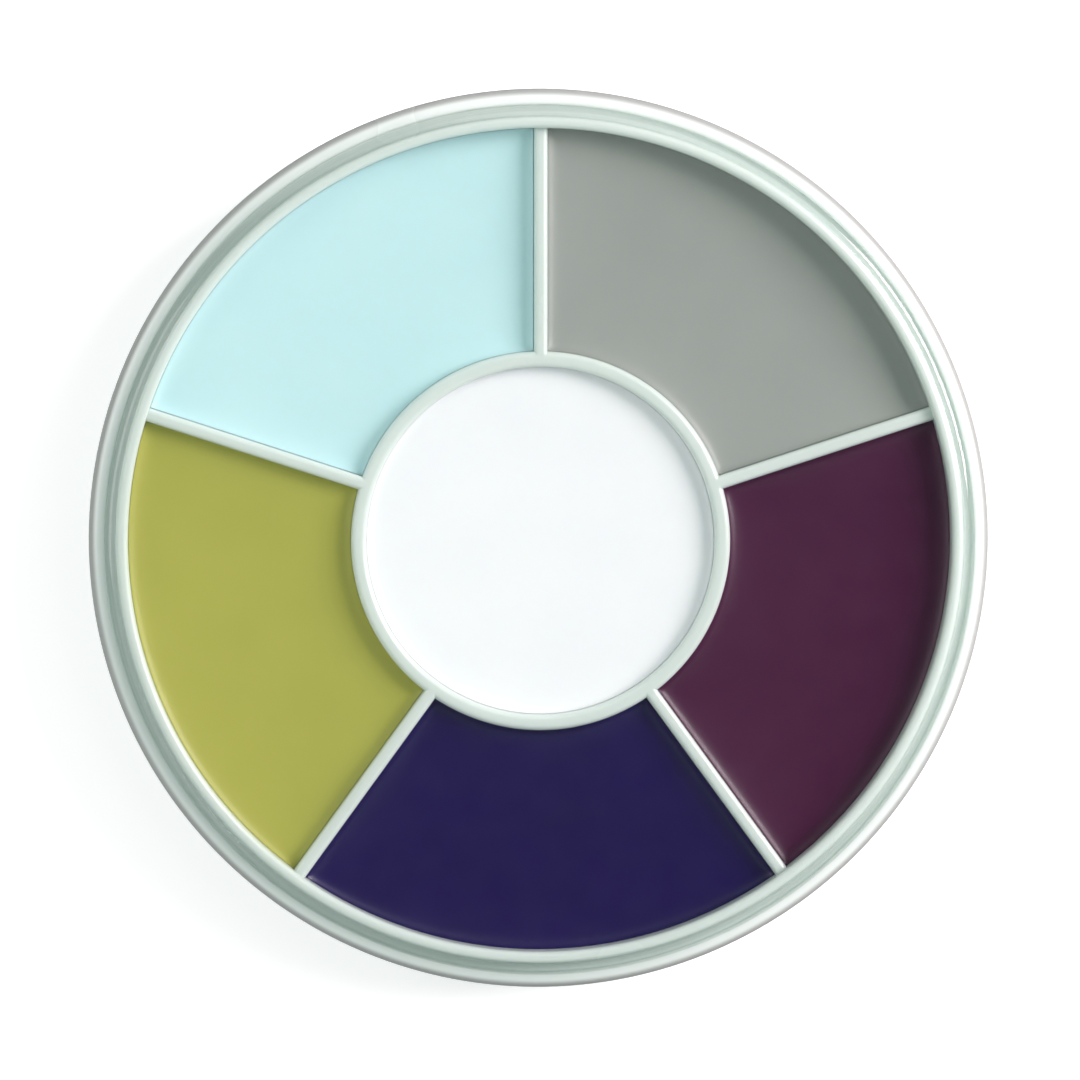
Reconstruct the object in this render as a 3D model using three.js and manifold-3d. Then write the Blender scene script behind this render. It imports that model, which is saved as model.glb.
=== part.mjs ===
// A round palette of six creams: a white moulded tray with five wedge wells round a centre well,
// the creams that fill them, a clear lid that snaps over the tray's lip, and a label underneath.
// Millimetres, +Z up. The origin is the centre of the foot ring, on the surface that it stands on.
import * as THREE from "three";
import { mergeVertices } from "three/addons/utils/BufferGeometryUtils.js";
import Module from "manifold-3d";

// Tray, rim
const trayDiameter = 83; // over the shoulder
const trayHeight = 10.6; // foot to the top of the lip
const lipRise = 1.9; // top of the lip above the top of the shoulder
const shoulderWidth = 1.5; // rounded ring outside the lid's seat
const shoulderThickness = 2.3; // top of the shoulder to its underside
const seatDepth = 0.5; // the lid's seat, below the shoulder
const lipWall = 1.05; // raised lip, inside the lid's seat
const snapRingHeight = 0.08; // on the lip's outer face, where the lid snaps over
const snapRingWidth = 0.32;
const snapRingDrop = 1.1; // middle of the snap ring, below the top of the lip

// Tray, wells
const wellCount = 5;
const firstDividerAngle = Math.PI / 2; // one divider runs along +Y
const dividerWall = 1.25;
const dividerDrop = 0.9; // tops of dividers and hub ring, below the top of the lip
const hubDiameter = 34.9; // over the ring round the centre well
const hubWall = 1.45;
const sideWall = 1.35; // outer wall of the wells, below the shoulder
const floorWall = 1.3;
const footHeight = 0.9; // foot ring, below the underside of the floor
const footWidth = 2.4;
const joinDepth = 0.4; // how far a divider reaches into the floor, the lip and the hub ring

// Edge radii
const lipEdge = 0.45;
const dividerEdge = 0.45;
const hubEdge = 0.5;
const shoulderOuterEdge = 1.1;
const shoulderInnerEdge = 0.3;
const undersideEdge = 0.5;
const lidOuterEdge = 0.8;
const lidInnerEdge = 0.3;

// Creams
const creamDrop = 1.3; // surface, below the tops of the dividers
const creamGap = 0.1; // between a cream and the tray

// Lid
const lidWall = 0.8; // skirt
const lidPlate = 1.0; // flat top
const lidSideGap = 0.15; // skirt to lip, and skirt to shoulder
const lidTopGap = 0.3; // plate to the top of the lip
const lidSeatGap = 0.1; // foot of the skirt to the seat

// Label
const labelMargin = 3.8; // to the inside of the foot ring
const labelThickness = 0.2;
const labelGap = 0.05; // to the underside of the floor

// Facets
const turnSteps = 80; // flats in a full turn, a multiple of wellCount
const edgeStep = 0.27; // an edge gets one flat for each of these in its radius

// Radii and levels that follow from the sizes above
const trayRadius = trayDiameter / 2;
const shoulderInner = trayRadius - shoulderWidth;
const lipOuter = shoulderInner - 2 * lidSideGap - lidWall;
const wellRadius = lipOuter - lipWall;
const dishRadius = wellRadius + sideWall;
const footInner = dishRadius - footWidth;
const hubOuter = hubDiameter / 2;
const hubInner = hubOuter - hubWall;
const floorTop = footHeight + floorWall;
const shoulderHeight = trayHeight - lipRise;
const seatLevel = shoulderHeight - seatDepth;
const dividerTop = trayHeight - dividerDrop;
const creamTop = dividerTop - creamDrop;

const wasm = await Module();
wasm.setup();

// A line through [x, y, radius] corners, each with a radius turned into an arc. Where two arcs
// need more than the edge between them, both get smaller.
function rounded(corners) {
  const points = corners.map(([x, y]) => new THREE.Vector2(x, y));
  const halfAngle = (i) => {
    const back = points[i - 1].clone().sub(points[i]);
    const ahead = points[i + 1].clone().sub(points[i]);
    return back.angleTo(ahead) / 2;
  };
  const reach = corners.map(([, , radius], i) => (radius ? radius / Math.tan(halfAngle(i)) : 0));
  for (let i = 0; i + 1 < points.length; i++) {
    const needed = reach[i] + reach[i + 1];
    const room = 0.98 * points[i].distanceTo(points[i + 1]);
    const share = needed > room ? room / needed : 1;
    reach[i] *= share;
    reach[i + 1] *= share;
  }
  return points.flatMap((corner, i) => {
    if (!reach[i]) return [corner];
    const half = halfAngle(i);
    const radius = reach[i] * Math.tan(half);
    const back = points[i - 1].clone().sub(corner).normalize();
    const ahead = points[i + 1].clone().sub(corner).normalize();
    const middle = back.clone().add(ahead).setLength(radius / Math.sin(half)).add(corner);
    const start = back.multiplyScalar(reach[i]).add(corner);
    const end = ahead.multiplyScalar(reach[i]).add(corner);
    const turn = start.clone().sub(middle).cross(end.clone().sub(middle));
    const sweep = Math.sign(turn) * (Math.PI - 2 * half);
    const steps = Math.max(2, Math.round(radius / edgeStep));
    return Array.from({ length: steps + 1 }, (_, k) =>
      start.clone().rotateAround(middle, (sweep * k) / steps),
    );
  });
}

// The solid that an outline of [radius, height, edge radius] corners makes about the Z axis.
function revolve(corners) {
  return new THREE.LatheGeometry(rounded(corners), turnSteps).rotateX(Math.PI / 2);
}

function toSolid(geometry) {
  const bare = geometry.clone().deleteAttribute("normal").deleteAttribute("uv");
  const merged = mergeVertices(bare, 1e-4);
  return new wasm.Manifold(
    new wasm.Mesh({
      numProp: 3,
      vertProperties: merged.attributes.position.array,
      triVerts: new Uint32Array(merged.index.array),
    }),
  );
}

function toGeometry(solid) {
  const { vertProperties, triVerts } = solid.getMesh();
  const geometry = new THREE.BufferGeometry();
  geometry.setAttribute("position", new THREE.BufferAttribute(vertProperties, 3));
  geometry.setIndex(new THREE.BufferAttribute(triVerts, 1));
  geometry.computeVertexNormals();
  return geometry;
}

// The moulding without its dividers: foot, side, shoulder, seat, lip, floor and hub ring.
function dishGeometry() {
  const shoulderFoot = shoulderHeight - shoulderThickness;
  const snapRingLevel = trayHeight - snapRingDrop;
  return revolve([
    [0, footHeight],
    [footInner, footHeight],
    [footInner, 0],
    [dishRadius, 0, undersideEdge],
    [dishRadius, shoulderFoot, undersideEdge],
    [trayRadius, shoulderFoot, undersideEdge],
    [trayRadius, shoulderHeight, shoulderOuterEdge],
    [shoulderInner, shoulderHeight, shoulderInnerEdge],
    [shoulderInner, seatLevel],
    [lipOuter, seatLevel],
    [lipOuter, snapRingLevel - snapRingWidth / 2],
    [lipOuter + snapRingHeight, snapRingLevel],
    [lipOuter, snapRingLevel + snapRingWidth / 2],
    [lipOuter, trayHeight, lipEdge],
    [wellRadius, trayHeight, lipEdge],
    [wellRadius, floorTop],
    [hubOuter, floorTop],
    [hubOuter, dividerTop, hubEdge],
    [hubInner, dividerTop, hubEdge],
    [hubInner, floorTop],
    [0, floorTop],
  ]);
}

// One divider along +X, with a rounded top, let into the hub ring, the floor and the lip.
function dividerGeometry() {
  const half = dividerWall / 2;
  const base = floorTop - joinDepth;
  const section = new THREE.Shape(
    rounded([
      [-half, base],
      [-half, dividerTop, dividerEdge],
      [half, dividerTop, dividerEdge],
      [half, base],
    ]),
  );
  const start = hubOuter - joinDepth;
  const length = wellRadius + joinDepth - start;
  const bar = new THREE.ExtrudeGeometry(section, { depth: length, bevelEnabled: false });
  return bar.rotateX(Math.PI / 2).rotateZ(Math.PI / 2).translate(start, 0, 0);
}

// Dividers go clockwise from the first, seen from above.
function dividerAngle(i) {
  return firstDividerAngle - (2 * Math.PI * i) / wellCount;
}

function trayGeometry() {
  let tray = toSolid(dishGeometry());
  for (let i = 0; i < wellCount; i++) {
    tray = tray.add(toSolid(dividerGeometry().rotateZ(dividerAngle(i))));
  }
  return toGeometry(tray);
}

// A cream with the given outline seen from above, from the floor of its well to its surface.
function fillGeometry(outline, curveSegments) {
  const bottom = floorTop + creamGap;
  const options = { depth: creamTop - bottom, bevelEnabled: false, curveSegments };
  return new THREE.ExtrudeGeometry(outline, options).translate(0, 0, bottom);
}

// The fill of the well between divider i and the next.
function wedgeFillGeometry(i) {
  const offset = dividerWall / 2 + creamGap;
  const outer = wellRadius - creamGap;
  const inner = hubOuter + creamGap;
  const outerTrim = Math.asin(offset / outer);
  const innerTrim = Math.asin(offset / inner);
  const from = dividerAngle(i + 1);
  const to = dividerAngle(i);
  const outline = new THREE.Shape();
  outline.absarc(0, 0, outer, from + outerTrim, to - outerTrim, false);
  outline.absarc(0, 0, inner, to - innerTrim, from + innerTrim, true);
  return fillGeometry(outline, turnSteps / wellCount);
}

function centreFillGeometry() {
  const outline = new THREE.Shape();
  outline.absarc(0, 0, hubInner - creamGap, 0, 2 * Math.PI, false);
  return fillGeometry(outline, turnSteps);
}

// A plate with a skirt that stands in the seat between the lip and the shoulder.
function lidGeometry() {
  const outer = shoulderInner - lidSideGap;
  const inner = lipOuter + lidSideGap;
  const underside = trayHeight + lidTopGap;
  const foot = seatLevel + lidSeatGap;
  return revolve([
    [0, underside],
    [inner, underside, lidInnerEdge],
    [inner, foot],
    [outer, foot],
    [outer, underside + lidPlate, lidOuterEdge],
    [0, underside + lidPlate],
  ]);
}

function labelGeometry() {
  const bottom = footHeight - labelGap - labelThickness;
  const radius = footInner - labelMargin;
  return revolve([
    [0, bottom],
    [radius, bottom],
    [radius, bottom + labelThickness],
    [0, bottom + labelThickness],
  ]);
}

function piece(name, geometry, color, roughness, extra = {}) {
  const material = new THREE.MeshStandardMaterial({ color, roughness, metalness: 0, ...extra });
  const mesh = new THREE.Mesh(geometry, material);
  mesh.name = name;
  return mesh;
}

// One for each well, clockwise from the first divider
const wedgeCreams = [
  ["grey_cream", "#9b9f97"],
  ["burgundy_cream", "#4a2240"],
  ["violet_cream", "#281f58"],
  ["olive_cream", "#aeb052"],
  ["ice_blue_cream", "#bfe8ea"],
];

const palette = new THREE.Group();
palette.add(piece("base_tray", trayGeometry(), "#eef2ec", 0.35));
wedgeCreams.forEach(([name, color], i) => palette.add(piece(name, wedgeFillGeometry(i), color, 0.5)));
palette.add(piece("white_cream", centreFillGeometry(), "#f6f7fb", 0.5));
palette.add(piece("underside_label", labelGeometry(), "#f4f4f0", 0.85));
palette.add(piece("clear_lid", lidGeometry(), "#f2f7f6", 0.08, { transparent: true, opacity: 0.2 }));

export default palette;
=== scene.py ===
import math

import bmesh
import bpy
import numpy as np
from mathutils import Matrix, Vector, noise


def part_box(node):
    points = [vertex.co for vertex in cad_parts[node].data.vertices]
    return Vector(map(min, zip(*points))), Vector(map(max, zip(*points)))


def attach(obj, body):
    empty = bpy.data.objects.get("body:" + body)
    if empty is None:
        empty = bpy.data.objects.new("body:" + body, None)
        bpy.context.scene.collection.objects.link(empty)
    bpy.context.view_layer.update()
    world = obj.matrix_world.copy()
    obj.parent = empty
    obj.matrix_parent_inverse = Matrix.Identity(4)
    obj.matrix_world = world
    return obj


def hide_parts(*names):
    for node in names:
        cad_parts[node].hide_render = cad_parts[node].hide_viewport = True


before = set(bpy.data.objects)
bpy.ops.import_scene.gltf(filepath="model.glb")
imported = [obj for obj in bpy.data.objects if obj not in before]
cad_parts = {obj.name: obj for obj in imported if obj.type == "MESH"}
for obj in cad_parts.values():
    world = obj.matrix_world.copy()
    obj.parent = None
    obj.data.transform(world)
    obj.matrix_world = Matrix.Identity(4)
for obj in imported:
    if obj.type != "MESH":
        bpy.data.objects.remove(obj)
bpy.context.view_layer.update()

# Round palette of six creams: a white moulded tray, six poured creams, a clear press-on lid
# and a paper label under the floor. Metres, +Z up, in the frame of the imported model.


def mm(value):
    return value * 0.001


def srgbToLinear(hexColour):
    parts = [int(hexColour[i : i + 2], 16) / 255 for i in (1, 3, 5)]
    linear = [c / 12.92 if c <= 0.04045 else ((c + 0.055) / 1.055) ** 2.4 for c in parts]
    return (*linear, 1.0)


# each node's box, as its lowest and its highest corner
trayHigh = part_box("base_tray")[1]
lidLow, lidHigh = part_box("clear_lid")
discLow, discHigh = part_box("white_cream")
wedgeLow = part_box("violet_cream")[0]
labelLow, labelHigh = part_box("underside_label")

cad = {
    "creamGap": mm(0.1),  # what the CAD leaves between a cream and the tray
    "seatGap": mm(0.1),  # foot of the lid's skirt to its seat
    "sideGap": mm(0.15),  # lid's skirt to the lip, and to the shoulder
}
trayRadius = trayHigh.x
lipTop = trayHigh.z
wellRadius = -wedgeLow.y + cad["creamGap"]
hubInner = discHigh.x + cad["creamGap"]
floorTop = discLow.z - cad["creamGap"]
creamTop = discHigh.z
seatLevel = lidLow.z - cad["seatGap"]
shoulderInner = lidHigh.x + cad["sideGap"]


def addNode(tree, kind, settings=None, **inputs):
    # settings go on the node, inputs on its sockets: a socket links, anything else is a value
    node = tree.nodes.new(kind)
    for key, value in (settings or {}).items():
        setattr(node, key, value)
    for key, value in inputs.items():
        name = key.replace("_", " ")
        socket = node.inputs[int(key[5:])] if key.startswith("input") else node.inputs[name]
        if isinstance(value, bpy.types.NodeSocket):
            tree.links.new(value, socket)
        else:
            socket.default_value = value
    return node


def newMaterial(name):
    material = bpy.data.materials.new(name)
    material.use_nodes = True
    material.node_tree.nodes.clear()
    return material, material.node_tree


def makeObject(name, vertices, faces, materials, sharpAngle=32, slotOf=None):
    mesh = bpy.data.meshes.new(name)
    mesh.from_pydata([tuple(v) for v in vertices], [], faces)
    if slotOf is not None:
        mesh.polygons.foreach_set("material_index", slotOf)
    shape = bmesh.new()
    shape.from_mesh(mesh)
    bmesh.ops.remove_doubles(shape, verts=shape.verts, dist=mm(0.0005))  # a ring of no radius is one point
    bmesh.ops.recalc_face_normals(shape, faces=shape.faces)
    shape.to_mesh(mesh)
    shape.free()
    mesh.shade_smooth()
    mesh.set_sharp_from_angle(angle=math.radians(sharpAngle))
    for material in materials:
        mesh.materials.append(material)
    piece = bpy.data.objects.new(name, mesh)
    bpy.context.scene.collection.objects.link(piece)
    return piece


def gridFaces(rows, columns, wrap, start=0):
    # quads between neighbouring rows; wrap joins the last column to the first
    faces = []
    for i in range(rows - 1):
        for j in range(columns if wrap else columns - 1):
            k = (j + 1) % columns
            a, b = start + i * columns, start + (i + 1) * columns
            faces.append((a + j, a + k, b + k, b + j))
    return faces


def roundedLine(corners, steps=7):
    # a line through (radius, height, edge) corners, each edge turned into an arc
    points = [Vector(c[:2]) for c in corners]
    line = []
    for i, corner in enumerate(corners):
        edge = corner[2] if len(corner) > 2 else 0
        if not edge:
            line.append(points[i])
            continue
        back = (points[i - 1] - points[i]).normalized()
        ahead = (points[i + 1] - points[i]).normalized()
        half = back.angle(ahead) / 2
        reach = edge / math.tan(half)
        middle = points[i] + (back + ahead).normalized() * (edge / math.sin(half))
        start, end = points[i] + back * reach - middle, points[i] + ahead * reach - middle
        sweep = start.angle_signed(end)
        for k in range(steps + 1):
            turn = Matrix.Rotation(-sweep * k / steps, 2)
            line.append(middle + turn @ start)
    return line


trayChoices = {
    "lipWall": mm(1.05),
    "lipEdge": mm(0.45),
    "shoulderTop": mm(8.7),
    "shoulderFoot": mm(6.4),
    "shoulderOuterEdge": mm(1.1),
    "shoulderInnerEdge": mm(0.3),
    "undersideEdge": mm(0.5),
    "footEdge": mm(0.2),  # inside the foot ring
    "seatEdge": mm(0.12),  # bottom corners of the lid's seat
    "sideWall": mm(1.35),
    "footHeight": mm(0.9),
    "footWidth": mm(2.4),
    "partingHeight": mm(7.45),  # where the two halves of the mould met
    "partingRise": mm(0.015),
    "snapRingRise": mm(0.08),
    "snapRingLevel": mm(9.5),
    "snapRingWidth": mm(0.32),
    "snapRingRound": (0.35, 0.8),  # at this share of its half width it has this share of its rise
    "hubWall": mm(1.45),
    "hubEdge": mm(0.5),
    "dividerWall": mm(1.25),
    "dividerEdge": mm(0.45),
    "dividerTop": mm(9.7),
    "dividerDraft": mm(0.02),  # how much wider a divider is at its foot, on each side
    "dividers": 5,
    "firstDivider": math.radians(90),
    "dividerArcStep": 15,  # degrees, between the rows of points over a rounded edge
    "columnsPerWell": 46,
    "floorSteps": 22,  # rings of points between the lip and the hub
}
hubOuter = hubInner + trayChoices["hubWall"]
lipOuter = wellRadius + trayChoices["lipWall"]
dividerHalf = trayChoices["dividerWall"] / 2
dividerStep = 2 * math.pi / trayChoices["dividers"]


def dividerAngle(i):
    # dividers go clockwise from the first, seen from above
    return trayChoices["firstDivider"] - i * dividerStep


def angleBeside(i, offset, radius):
    # where a line parallel to divider i, offset clockwise from it, is at that radius
    held = min(max(radius, hubInner), wellRadius)
    return dividerAngle(i) - math.asin(offset / held)


def wellAngles(i, radius, near, share):
    # columns between divider i and the next: near is the offsets kept parallel to a divider,
    # share the even steps between the last of them on each side
    first = [angleBeside(i, d, radius) for d in near]
    last = [angleBeside(i + 1, -d, radius) for d in reversed(near)]
    between = [first[-1] + (last[0] - first[-1]) * s for s in share]
    return first + between + last


def evenShares(count):
    return [(k + 1) / (count + 1) for k in range(count)]


def dividerHeight(offset):
    # cross-section of a divider: flat top, rounded edges, upright sides
    edge, top = trayChoices["dividerEdge"], trayChoices["dividerTop"]
    past = abs(offset) - (dividerHalf - edge)
    if past <= 0:
        return top
    if past <= edge * 1.0001:  # the last row over the edge, whatever its rounding
        return top - edge + math.sqrt(max(0.0, edge**2 - past**2))
    return floorTop


def buildTray(material):
    t = trayChoices
    dishRadius = wellRadius + t["sideWall"]
    footInner = dishRadius - t["footWidth"]
    lipMiddle, hubMiddle = (wellRadius + lipOuter) / 2, (hubInner + hubOuter) / 2
    ring, half, rise = t["snapRingLevel"], t["snapRingWidth"] / 2, t["snapRingRise"]
    roundAt, roundRise = t["snapRingRound"]
    outside = roundedLine([
        (0, t["footHeight"]),
        (footInner / 2, t["footHeight"]),
        (footInner, t["footHeight"], t["footEdge"]),
        (footInner, 0, t["footEdge"]),
        (dishRadius, 0, t["undersideEdge"]),
        (dishRadius, t["shoulderFoot"], t["undersideEdge"]),
        (trayRadius, t["shoulderFoot"], t["undersideEdge"]),
        (trayRadius, t["partingHeight"] - t["partingRise"] * 2),
        (trayRadius + t["partingRise"], t["partingHeight"]),
        (trayRadius, t["partingHeight"] + t["partingRise"] * 2),
        (trayRadius, t["shoulderTop"], t["shoulderOuterEdge"]),
        (shoulderInner, t["shoulderTop"], t["shoulderInnerEdge"]),
        (shoulderInner, seatLevel, t["seatEdge"]),
        (lipOuter, seatLevel, t["seatEdge"]),
        (lipOuter, ring - half),
        (lipOuter + rise * roundRise, ring - half * roundAt),
        (lipOuter + rise, ring),
        (lipOuter + rise * roundRise, ring + half * roundAt),
        (lipOuter, ring + half),
        (lipOuter, lipTop, t["lipEdge"]),
        (lipMiddle, lipTop),
    ])
    across = [wellRadius + (hubOuter - wellRadius) * k / t["floorSteps"] for k in range(1, t["floorSteps"])]
    wells = roundedLine([
        (lipMiddle, lipTop),
        (wellRadius, lipTop, t["lipEdge"]),
        (wellRadius, t["dividerTop"]),
        (wellRadius, floorTop),
        *[(radius, floorTop) for radius in across],
        (hubOuter, floorTop),
        (hubOuter, t["dividerTop"], t["hubEdge"]),
        (hubMiddle, t["dividerTop"]),
    ])
    centre = roundedLine([
        (hubMiddle, t["dividerTop"]),
        (hubInner, t["dividerTop"], t["hubEdge"]),
        (hubInner, floorTop),
        (hubInner / 2, floorTop),
        (0, floorTop),
    ])
    edge = t["dividerEdge"]
    flat = dividerHalf - edge
    arc = [flat + edge * math.sin(math.radians(a)) for a in range(0, 91, t["dividerArcStep"])]
    onDivider = [0.0, flat / 2, *arc, dividerHalf + t["dividerDraft"]]
    share = evenShares(t["columnsPerWell"])
    heights = [dividerHeight(d) for d in onDivider]
    blank = [floorTop] * len(share)
    rows = []
    for part, line in (("outside", outside), ("wells", wells[1:]), ("centre", centre[1:])):
        for radius, height in line:
            row = []
            for i in range(t["dividers"]):
                angles = wellAngles(i, radius, onDivider, share)
                raised = heights + blank + heights[::-1]
                for angle, top in zip(angles, raised):
                    z = max(height, top) if part == "wells" else height
                    row.append((radius * math.cos(angle), radius * math.sin(angle), z))
            rows.append(row)
    columns = len(rows[0])
    vertices = [p for row in rows for p in row]
    tray = makeObject("moulded_tray", vertices, gridFaces(len(rows), columns, True), [material])
    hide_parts("base_tray")
    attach(tray, "tray")


creamChoices = {
    "wallGap": mm(0.03),  # to the tray's walls
    "floorGap": mm(0.05),
    "wallRise": mm(0.28),  # how far the cream climbs a wall where it set against it
    "wallReach": mm(0.32),  # how far from the wall that climb fades
    "sinkSlope": 0.2,  # the surface falls this steeply from a wall, as the cream sank in cooling
    "centreSinkSlope": 0.035,
    "cornerClimb": 1.25,  # the most that two walls add up to, in climbs
    "waveHeight": mm(0.035),  # slow swell that pouring leaves
    "waveFade": mm(1.5),  # from a wall, over which the swell starts
    "waveLength": mm(9.0),
    "seed": 11.0,
    "nearWall": [mm(v) for v in (0, 0.06, 0.14, 0.24, 0.38, 0.56, 0.8, 1.15, 1.6)],  # rows of points
    "rowStep": mm(0.8),  # between the rows further in
    "columns": 44,
    "centreColumns": 160,
    "centreFirst": mm(0.2),  # least radius of a ring round the middle point
}


def creamLevel(x, y, wallDistances, slope):
    # height of a cream's surface: a shallow dish between its walls, with a climb against each of them
    c = creamChoices
    climb = sum(math.exp(-d / c["wallReach"]) for d in wallDistances)
    rise = c["wallRise"] * min(c["cornerClimb"], climb)
    sunk = slope / sum(1 / max(d, mm(0.001)) for d in wallDistances)  # never divides by nothing
    place = Vector((x / c["waveLength"], y / c["waveLength"], c["seed"]))
    fade = 1 - math.exp(-min(wallDistances) / c["waveFade"])
    return creamTop + rise - sunk + c["waveHeight"] * noise.noise(place) * fade


def spread(low, high):
    # distances from low to high, close together at both ends
    near, step = creamChoices["nearWall"], creamChoices["rowStep"]
    count = max(2, round((high - low - 2 * near[-1]) / step))
    middle = np.linspace(low + near[-1], high - near[-1], count + 1)[1:-1]
    return [low + v for v in near] + list(middle) + [high - v for v in reversed(near)]


def slab(name, rows, bottom, wrap, material):
    # closed body under a grid of surface points
    count, columns = len(rows), len(rows[0])
    top = [p for row in rows for p in row]
    under = [(p[0], p[1], bottom) for p in top]
    faces = gridFaces(count, columns, wrap)
    faces += [tuple(reversed(f)) for f in gridFaces(count, columns, wrap, len(top))]
    if wrap:
        last = (count - 1) * columns
        edges = [[*range(columns), 0], [*range(last, last + columns), last]]
    else:
        loop = list(range(columns))
        loop += [i * columns + columns - 1 for i in range(1, count)]
        loop += [(count - 1) * columns + j for j in range(columns - 2, -1, -1)]
        loop += [i * columns for i in range(count - 2, -1, -1)]
        edges = [loop]
    for loop in edges:
        for a, b in zip(loop, loop[1:]):
            faces.append((a, b, b + len(top), a + len(top)))
    return makeObject(name, top + under, faces, [material], sharpAngle=40)


def buildWedgeCream(i, node, material):
    c = creamChoices
    inner, outer = hubOuter + c["wallGap"], wellRadius - c["wallGap"]
    start = dividerHalf + trayChoices["dividerDraft"] + c["wallGap"]
    near = [start + v for v in c["nearWall"]]
    share = evenShares(c["columns"])
    rows = []
    for radius in spread(inner, outer):
        row = []
        for angle in wellAngles(i, radius, near, share):
            turns = (dividerAngle(i) - angle, angle - dividerAngle(i + 1))  # to the two dividers
            beside = [max(0.0, radius * math.sin(min(math.pi / 2, a)) - start) for a in turns]
            walls = [radius - inner, outer - radius, *beside]
            x, y = radius * math.cos(angle), radius * math.sin(angle)
            row.append((x, y, creamLevel(x, y, walls, c["sinkSlope"])))
        rows.append(row)
    cream = slab(node.replace("_cream", "_fill"), rows, floorTop + c["floorGap"], False, material)
    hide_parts(node)
    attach(cream, "tray")


def buildCentreCream(material):
    c = creamChoices
    outer = hubInner - c["wallGap"]
    columns = c["centreColumns"]
    radii = [v for v in spread(-outer, outer) if v > c["centreFirst"]]
    rows = []
    for radius in [0.0, *radii]:
        row = []
        for k in range(columns):
            angle = 2 * math.pi * k / columns
            x, y = radius * math.cos(angle), radius * math.sin(angle)
            row.append((x, y, creamLevel(x, y, [outer - radius, outer + radius], c["centreSinkSlope"])))
        rows.append(row)
    cream = slab("white_fill", rows, floorTop + c["floorGap"], True, material)
    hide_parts("white_cream")
    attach(cream, "tray")


lidChoices = {
    "wall": mm(0.8),
    "plate": mm(1.0),
    "outerEdge": mm(0.8),
    "innerEdge": mm(0.3),
    "footEdge": mm(0.15),
    "beadRise": mm(0.05),  # inside the skirt, it clicks past the lip's ring
    "beadLevel": mm(8.95),
    "beadHalf": mm(0.16),  # half of its width
    "columns": 240,
}


def buildLid(material):
    c = lidChoices
    outer = lidHigh.x
    inner = outer - c["wall"]
    underside = lidHigh.z - c["plate"]
    bead, half = c["beadLevel"], c["beadHalf"]
    line = roundedLine([
        (0, underside),
        (inner / 2, underside),
        (inner, underside, c["innerEdge"]),
        (inner, bead + half),
        (inner - c["beadRise"], bead),
        (inner, bead - half),
        (inner, lidLow.z, c["footEdge"]),
        (outer, lidLow.z, c["footEdge"]),
        (outer, lidHigh.z, c["outerEdge"]),
        (inner / 2, lidHigh.z),
        (0, lidHigh.z),
    ])
    turns = [2 * math.pi * k / c["columns"] for k in range(c["columns"])]
    rows = [[(radius * math.cos(a), radius * math.sin(a), height) for a in turns] for radius, height in line]
    vertices = [p for row in rows for p in row]
    lid = makeObject("press_on_lid", vertices, gridFaces(len(rows), c["columns"], True), [material])
    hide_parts("clear_lid")
    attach(lid, "lid")


labelChoices = {
    "columns": 120,
    "swatchOuter": mm(27.0),
    "swatchInner": mm(17.0),
    "middleRing": mm(8.0),  # ring of points on the plain paper inside the swatches
    "swatchShare": 0.86,  # of each fifth of the turn
    "paper": ("#F4F4EF", "#E9E9E2"),  # the paper, and the shade between its fibres
    "paperRoughness": 0.85,
    "fibreMm": 0.3,
    "fibreHeight": mm(0.01),
    "fibreStrength": 0.4,
    "inkPaper": "#F0F0EA",
    "inkPaperShare": 0.12,  # how much of the paper shows through the ink
    "inkMottleMm": 0.4,
    "inkRoughness": (0.5, 0.65),
}


def buildLabel(paper, inks):
    # a disc of paper, with a printed swatch for each wedge well on its underside
    c = labelChoices
    radii = [0.0, c["middleRing"], c["swatchInner"], c["swatchOuter"], labelHigh.x]
    heights = [labelLow.z] * len(radii)
    radii += [labelHigh.x, 0.0]
    heights += [labelHigh.z] * 2
    count = c["columns"]
    turns = [trayChoices["firstDivider"] - 2 * math.pi * k / count for k in range(count)]
    rows = [[(r * math.cos(a), r * math.sin(a), z) for a in turns] for r, z in zip(radii, heights)]
    vertices = [p for row in rows for p in row]
    faces = gridFaces(len(rows), count, True)
    perWell = count // trayChoices["dividers"]
    margin = (1 - c["swatchShare"]) / 2
    slots = []
    for i in range(len(rows) - 1):
        for j in range(count):
            within = (j % perWell + 0.5) / perWell
            swatch = radii[i] == c["swatchInner"] and margin < within < 1 - margin
            slots.append(1 + j // perWell if swatch else 0)
    label = makeObject("printed_label", vertices, faces, [paper, *inks], sharpAngle=40, slotOf=slots)
    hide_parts("underside_label")
    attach(label, "tray")


plasticChoices = {
    "colour": "#DAE3E0",
    "shadeColour": "#D5DFDB",
    "cloudMm": 14,  # patches of slightly different shade and gloss
    "roughness": (0.20, 0.30),  # from the glossiest patch to the dullest
    "index": 1.59,  # polystyrene
    "grainMm": 0.35,  # orange peel of a polished mould, drawn coarser than the real 0.1
    "grainHeight": mm(0.004),
    "grainStrength": 0.6,
    "soak": 0.6,  # share of the light that spreads under the surface, how far, and in which colour
    "soakReach": mm(1.2),
    "soakColour": (1.0, 1.0, 0.9),
    "paintedEdgeShadeColour": "#8E8F8D",  # painted shade: a grey band round the rim's outer edge at the parting line, standing in for the shade where the edge rounds away
    "paintedEdgeShadeFrom": mm(40.75),  # distance from the axis where it starts, and where it is at its full
    "paintedEdgeShadeFull": mm(41.25),
    "paintedEdgeShadeFoot": mm(7.1),  # height where it has ended, and where it is at its full
    "paintedEdgeShadeTop": mm(7.5),
    "paintedEdgeShadeShare": 0.75,
}


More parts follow.
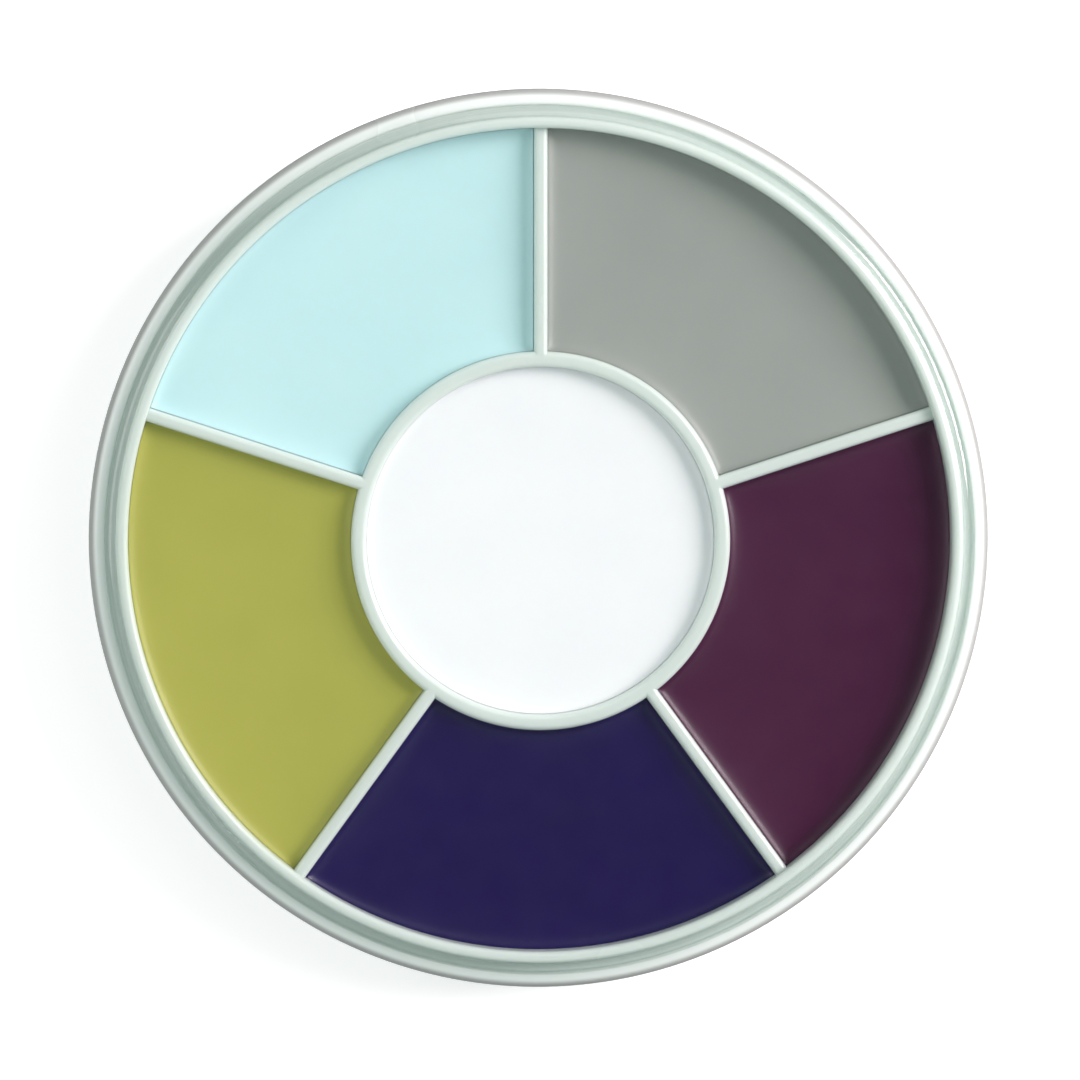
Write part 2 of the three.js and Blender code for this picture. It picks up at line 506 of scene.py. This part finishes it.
def mouldedPolystyrene():
    # injection moulded high-impact polystyrene: milky white, faintly green in its own shade, an even
    # satin gloss broken by a fine orange peel, and edges that light soaks into a little
    c = plasticChoices
    material, tree = newMaterial("mouldedPolystyreneWhite")
    where = addNode(tree, "ShaderNodeTexCoord").outputs["Object"]
    cloud = addNode(tree, "ShaderNodeTexNoise", Vector=where, Scale=1 / mm(c["cloudMm"]), Detail=2.0)
    tone = addNode(tree, "ShaderNodeMix", {"data_type": "RGBA"}, Factor=cloud.outputs["Fac"],
                   input6=srgbToLinear(c["colour"]), input7=srgbToLinear(c["shadeColour"]))
    parts = addNode(tree, "ShaderNodeSeparateXYZ", Vector=where).outputs
    flat = addNode(tree, "ShaderNodeCombineXYZ", X=parts["X"], Y=parts["Y"])
    reach = addNode(tree, "ShaderNodeVectorMath", {"operation": "LENGTH"}, input0=flat.outputs["Vector"])
    # painted shade: the outer rim edge is greyed in a band round the parting line, in place of the shade it
    # gets where it rounds away from the light
    outward = addNode(tree, "ShaderNodeMapRange", {"interpolation_type": "SMOOTHSTEP"},
                      Value=reach.outputs["Value"], From_Min=c["paintedEdgeShadeFrom"], From_Max=c["paintedEdgeShadeFull"],
                      To_Max=c["paintedEdgeShadeShare"])
    upward = addNode(tree, "ShaderNodeMapRange", {"interpolation_type": "SMOOTHSTEP"}, Value=parts["Z"],
                     From_Min=c["paintedEdgeShadeFoot"], From_Max=c["paintedEdgeShadeTop"])
    paintedEdgeShade = addNode(tree, "ShaderNodeMath", {"operation": "MULTIPLY"}, input0=outward.outputs["Result"],
                    input1=upward.outputs["Result"])
    edgeShadedTone = addNode(tree, "ShaderNodeMix", {"data_type": "RGBA"}, Factor=paintedEdgeShade.outputs["Value"],
                     input6=tone.outputs["Result"], input7=srgbToLinear(c["paintedEdgeShadeColour"]))
    peel = addNode(tree, "ShaderNodeTexNoise", Vector=where, Scale=1 / mm(c["grainMm"]), Detail=1.0)
    low, high = c["roughness"]
    gloss = addNode(tree, "ShaderNodeMapRange", Value=cloud.outputs["Fac"], To_Min=low, To_Max=high)
    bump = addNode(tree, "ShaderNodeBump", Height=peel.outputs["Fac"], Distance=c["grainHeight"],
                   Strength=c["grainStrength"])
    shader = addNode(tree, "ShaderNodeBsdfPrincipled", Base_Color=edgeShadedTone.outputs["Result"],
                     Roughness=gloss.outputs["Result"], Normal=bump.outputs["Normal"], IOR=c["index"],
                     Subsurface_Weight=c["soak"], Subsurface_Radius=c["soakColour"],
                     Subsurface_Scale=c["soakReach"])
    addNode(tree, "ShaderNodeOutputMaterial", Surface=shader.outputs["BSDF"])
    return material


creamLooks = {  # surface colour, a deeper tone of the same pigment, roughness
    "grey_cream": ("#9CA09C", "#959A97", 0.42),
    "burgundy_cream": ("#49153B", "#411236", 0.36),
    "violet_cream": ("#1C0B51", "#160946", 0.36),
    "olive_cream": ("#B3B256", "#AAAA4F", 0.42),
    "ice_blue_cream": ("#CBECEF", "#C1E4EA", 0.42),
    "white_cream": ("#F6F7FA", "#EFF1F6", 0.42),
}


skinChoices = {
    "cloudMm": 7,  # where it cooled unevenly
    "skinMm": 2.6,  # patches of duller and greasier skin, which swell a little
    "skinHeight": mm(0.02),
    "duller": 0.07,  # roughness either side of the cream's own
    "greasier": 0.05,
    "waxMm": 0.25,  # grain of the wax, drawn coarser than the real 0.05
    "waxHeight": mm(0.004),
    "bumpStrength": 0.5,
    "index": 1.45,  # wax and oil
    "soak": 0.15,
    "soakReach": mm(0.5),
    "soakColour": (1.0, 0.8, 0.6),
}


def pouredCream(node, colour, deeper, roughness):
    # wax-and-oil cream poured warm into its well: opaque pigment with a greasy satin skin, faint
    # clouds where it cooled unevenly, and a fine grain of wax that softens its highlights
    c = skinChoices
    words = node.split("_")[:-1]
    material, tree = newMaterial("pouredCream" + "".join(word.capitalize() for word in words))
    where = addNode(tree, "ShaderNodeTexCoord").outputs["Object"]
    cloud = addNode(tree, "ShaderNodeTexNoise", Vector=where, Scale=1 / mm(c["cloudMm"]), Detail=3.0,
                    Roughness=0.45)
    tone = addNode(tree, "ShaderNodeMix", {"data_type": "RGBA"}, Factor=cloud.outputs["Fac"],
                   input6=srgbToLinear(colour), input7=srgbToLinear(deeper))
    skin = addNode(tree, "ShaderNodeTexNoise", Vector=where, Scale=1 / mm(c["skinMm"]), Detail=2.0)
    gloss = addNode(tree, "ShaderNodeMapRange", Value=skin.outputs["Fac"], To_Min=roughness - c["greasier"],
                    To_Max=roughness + c["duller"])
    wax = addNode(tree, "ShaderNodeTexNoise", Vector=where, Scale=1 / mm(c["waxMm"]), Detail=2.0)
    swell = addNode(tree, "ShaderNodeBump", Height=skin.outputs["Fac"], Distance=c["skinHeight"],
                    Strength=c["bumpStrength"])
    grain = addNode(tree, "ShaderNodeBump", Height=wax.outputs["Fac"], Distance=c["waxHeight"],
                    Strength=c["bumpStrength"], Normal=swell.outputs["Normal"])
    shader = addNode(tree, "ShaderNodeBsdfPrincipled", Base_Color=tone.outputs["Result"],
                     Roughness=gloss.outputs["Result"], Normal=grain.outputs["Normal"], IOR=c["index"],
                     Subsurface_Weight=c["soak"], Subsurface_Radius=c["soakColour"],
                     Subsurface_Scale=c["soakReach"])
    addNode(tree, "ShaderNodeOutputMaterial", Surface=shader.outputs["BSDF"])
    return material


clearChoices = {
    "faceOn": 0.052,  # what one face of polystyrene mirrors, seen straight on
    "slantPower": 5.0,  # how suddenly that rises to all of the light at a glancing angle
    "tint": "#FCFEFD",
    "shine": "#FAFDFC",
    "roughness": 0.04,
}


def clearPolystyrene():
    # crystal polystyrene with a polished mould finish: seen only by its reflections, which are faint
    # face on and strong at a glancing angle, so that its edges draw fine bright and dark lines
    c = clearChoices
    material, tree = newMaterial("clearPolystyrenePolished")
    slant = addNode(tree, "ShaderNodeLayerWeight", Blend=0.5)
    steep = addNode(tree, "ShaderNodeMath", {"operation": "POWER"}, input0=slant.outputs["Facing"],
                    input1=c["slantPower"])
    mirror = addNode(tree, "ShaderNodeMapRange", Value=steep.outputs["Value"], To_Min=c["faceOn"], To_Max=1.0)
    through = addNode(tree, "ShaderNodeBsdfTransparent", Color=srgbToLinear(c["tint"]))
    shine = addNode(tree, "ShaderNodeBsdfAnisotropic", Color=srgbToLinear(c["shine"]),
                    Roughness=c["roughness"])
    mix = addNode(tree, "ShaderNodeMixShader", input0=mirror.outputs["Result"],
                  input1=through.outputs["BSDF"], input2=shine.outputs["BSDF"])
    addNode(tree, "ShaderNodeOutputMaterial", Surface=mix.outputs["Shader"])
    return material


def labelPaper():
    # uncoated label stock: matt, with the faint mottle of its fibres
    c = labelChoices
    material, tree = newMaterial("labelPaperUncoated")
    where = addNode(tree, "ShaderNodeTexCoord").outputs["Object"]
    fibre = addNode(tree, "ShaderNodeTexNoise", Vector=where, Scale=1 / mm(c["fibreMm"]), Detail=4.0)
    tone = addNode(tree, "ShaderNodeMix", {"data_type": "RGBA"}, Factor=fibre.outputs["Fac"],
                   input6=srgbToLinear(c["paper"][0]), input7=srgbToLinear(c["paper"][1]))
    bump = addNode(tree, "ShaderNodeBump", Height=fibre.outputs["Fac"], Distance=c["fibreHeight"],
                   Strength=c["fibreStrength"])
    shader = addNode(tree, "ShaderNodeBsdfPrincipled", Base_Color=tone.outputs["Result"],
                     Roughness=c["paperRoughness"], Normal=bump.outputs["Normal"])
    addNode(tree, "ShaderNodeOutputMaterial", Surface=shader.outputs["BSDF"])
    return material


def printedInk(node, colour):
    # offset ink on the label: the cream's colour, dulled a little by the paper under it
    c = labelChoices
    material, tree = newMaterial("labelInk" + node.split("_")[0].capitalize())
    where = addNode(tree, "ShaderNodeTexCoord").outputs["Object"]
    mottle = addNode(tree, "ShaderNodeTexNoise", Vector=where, Scale=1 / mm(c["inkMottleMm"]), Detail=3.0)
    tone = addNode(tree, "ShaderNodeMix", {"data_type": "RGBA"}, input0=c["inkPaperShare"],
                   input6=srgbToLinear(colour), input7=srgbToLinear(c["inkPaper"]))
    low, high = c["inkRoughness"]
    gloss = addNode(tree, "ShaderNodeMapRange", Value=mottle.outputs["Fac"], To_Min=low, To_Max=high)
    shader = addNode(tree, "ShaderNodeBsdfPrincipled", Base_Color=tone.outputs["Result"],
                     Roughness=gloss.outputs["Result"])
    addNode(tree, "ShaderNodeOutputMaterial", Surface=shader.outputs["BSDF"])
    return material


studio = {
    "floorColour": "#F7F7F7",
    "floorGlow": 0.36,
    "floorRadius": 6.0,
    "floorCorners": 96,
    "floorDrop": mm(0.05),  # below the foot ring
    "floorRoughness": 0.9,
    "boxDistance": 0.8,  # of the softboxes, from the palette
    "sky": [  # sine of the height above the horizon, brightness, colour
        (-1.0, 0.5, "#F7FFFD"),  # what the tray's sides get instead of the bright floor
        (-0.06, 0.5, "#F7FFFD"),
        (0.0, 0.9, "#FCFFFE"),
        (0.1, 0.8, "#FCFFFE"),
        (0.22, 0.34, "#F7FFFD"),  # what the lid mirrors when it is seen from the side
        (0.6, 0.36, "#F7FFFD"),
        (0.72, 0.88, "#F7FFFD"),
        (0.9, 0.88, "#F7FFFD"),
        (0.96, 0.02, "#F7FFFD"),  # dark overhead, so that the lid mirrors something dark
    ],
    "softboxes": [  # name, compass from +X, height above the horizon, width, watts, colour
        ("keyRight", 21, 33, 0.42, 9.7, "#FFEFF3"),
        ("fillLeft", 168, 30, 0.5, 2.0, "#FFF6F6"),
    ],
}


def buildStudio():
    s = studio
    material, tree = newMaterial("studioFloorPaper")
    shader = addNode(tree, "ShaderNodeBsdfPrincipled", Base_Color=srgbToLinear(s["floorColour"]),
                     Roughness=s["floorRoughness"], Emission_Color=(1, 1, 1, 1),
                     Emission_Strength=s["floorGlow"])
    addNode(tree, "ShaderNodeOutputMaterial", Surface=shader.outputs["BSDF"])
    count, reach = s["floorCorners"], s["floorRadius"]
    turns = [2 * math.pi * k / count for k in range(count)]
    vertices = [(reach * math.cos(a), reach * math.sin(a), -s["floorDrop"]) for a in turns]
    floor = makeObject("studio_floor", vertices, [tuple(range(count))], [material])
    floor.visible_diffuse = floor.visible_glossy = False  # its white doesn't wash out the tray's edge
    world = bpy.data.worlds.new("paleStudio")
    world.use_nodes = True
    sky = world.node_tree
    sky.nodes.clear()
    way = addNode(sky, "ShaderNodeTexCoord").outputs["Generated"]
    height = addNode(sky, "ShaderNodeSeparateXYZ", Vector=way).outputs["Z"]
    place = addNode(sky, "ShaderNodeMapRange", Value=height, From_Min=-1.0)
    bands = addNode(sky, "ShaderNodeValToRGB", Fac=place.outputs["Result"])
    stops = bands.color_ramp.elements
    while len(stops) < len(s["sky"]):
        stops.new(0.5)  # its place and colour come next
    for stop, (sine, brightness, colour) in zip(stops, s["sky"]):
        stop.position = (sine + 1) / 2
        stop.color = [v * brightness for v in srgbToLinear(colour)[:3]] + [1.0]
    light = addNode(sky, "ShaderNodeBackground", Color=bands.outputs["Color"])
    addNode(sky, "ShaderNodeOutputWorld", Surface=light.outputs["Background"])
    bpy.context.scene.world = world
    for name, compass, height, width, watts, colour in s["softboxes"]:
        lamp = bpy.data.lights.new(name, "AREA")
        lamp.shape, lamp.size, lamp.energy = "SQUARE", width, watts
        lamp.color = srgbToLinear(colour)[:3]
        box = bpy.data.objects.new(name, lamp)
        a, e = math.radians(compass), math.radians(height)
        way = Vector((math.cos(a) * math.cos(e), math.sin(a) * math.cos(e), math.sin(e)))
        box.location = way * s["boxDistance"]
        box.rotation_euler = way.to_track_quat("Z", "Y").to_euler()
        bpy.context.scene.collection.objects.link(box)


cameraChoices = {
    "lensMm": 180,
    "sensorMm": 36,
    "frameWidths": 1.2,  # width of the frame in tray diameters
    "tilt": 4.4,  # degrees from straight down
    "compass": 125,  # the camera stands towards this side
}


def buildCamera():
    c = cameraChoices
    target = Vector((0, 0, (trayChoices["shoulderTop"] + trayChoices["shoulderFoot"]) / 2))
    distance = c["frameWidths"] * 2 * trayRadius * c["lensMm"] / c["sensorMm"]
    tilt, compass = math.radians(c["tilt"]), math.radians(c["compass"])
    back = Vector((math.cos(compass) * math.sin(tilt), math.sin(compass) * math.sin(tilt), math.cos(tilt)))
    right = Vector((0, 1, 0)).cross(back).normalized()
    up = back.cross(right)
    data = bpy.data.cameras.new("overheadCamera")
    data.lens, data.sensor_width = c["lensMm"], c["sensorMm"]
    camera = bpy.data.objects.new("overheadCamera", data)
    bpy.context.scene.collection.objects.link(camera)
    turn = Matrix((right, up, back)).transposed().to_4x4()
    camera.matrix_world = Matrix.Translation(target + back * distance) @ turn
    bpy.context.scene.camera = camera


buildCamera()
buildStudio()
print("camera and studio ready")

buildTray(mouldedPolystyrene())
print("tray moulded")

creamMaterials = {node: pouredCream(node, *look) for node, look in creamLooks.items()}
wedgeOrder = ["grey_cream", "burgundy_cream", "violet_cream", "olive_cream", "ice_blue_cream"]
for i, node in enumerate(wedgeOrder):  # clockwise from the first divider
    buildWedgeCream(i, node, creamMaterials[node])
buildCentreCream(creamMaterials["white_cream"])
print("creams poured")

buildLid(clearPolystyrene())
print("lid pressed on")

inks = [printedInk(node, creamLooks[node][0]) for node in wedgeOrder]
buildLabel(labelPaper(), inks)
print("label stuck on")

bpy.context.scene.view_settings.view_transform = "Standard"
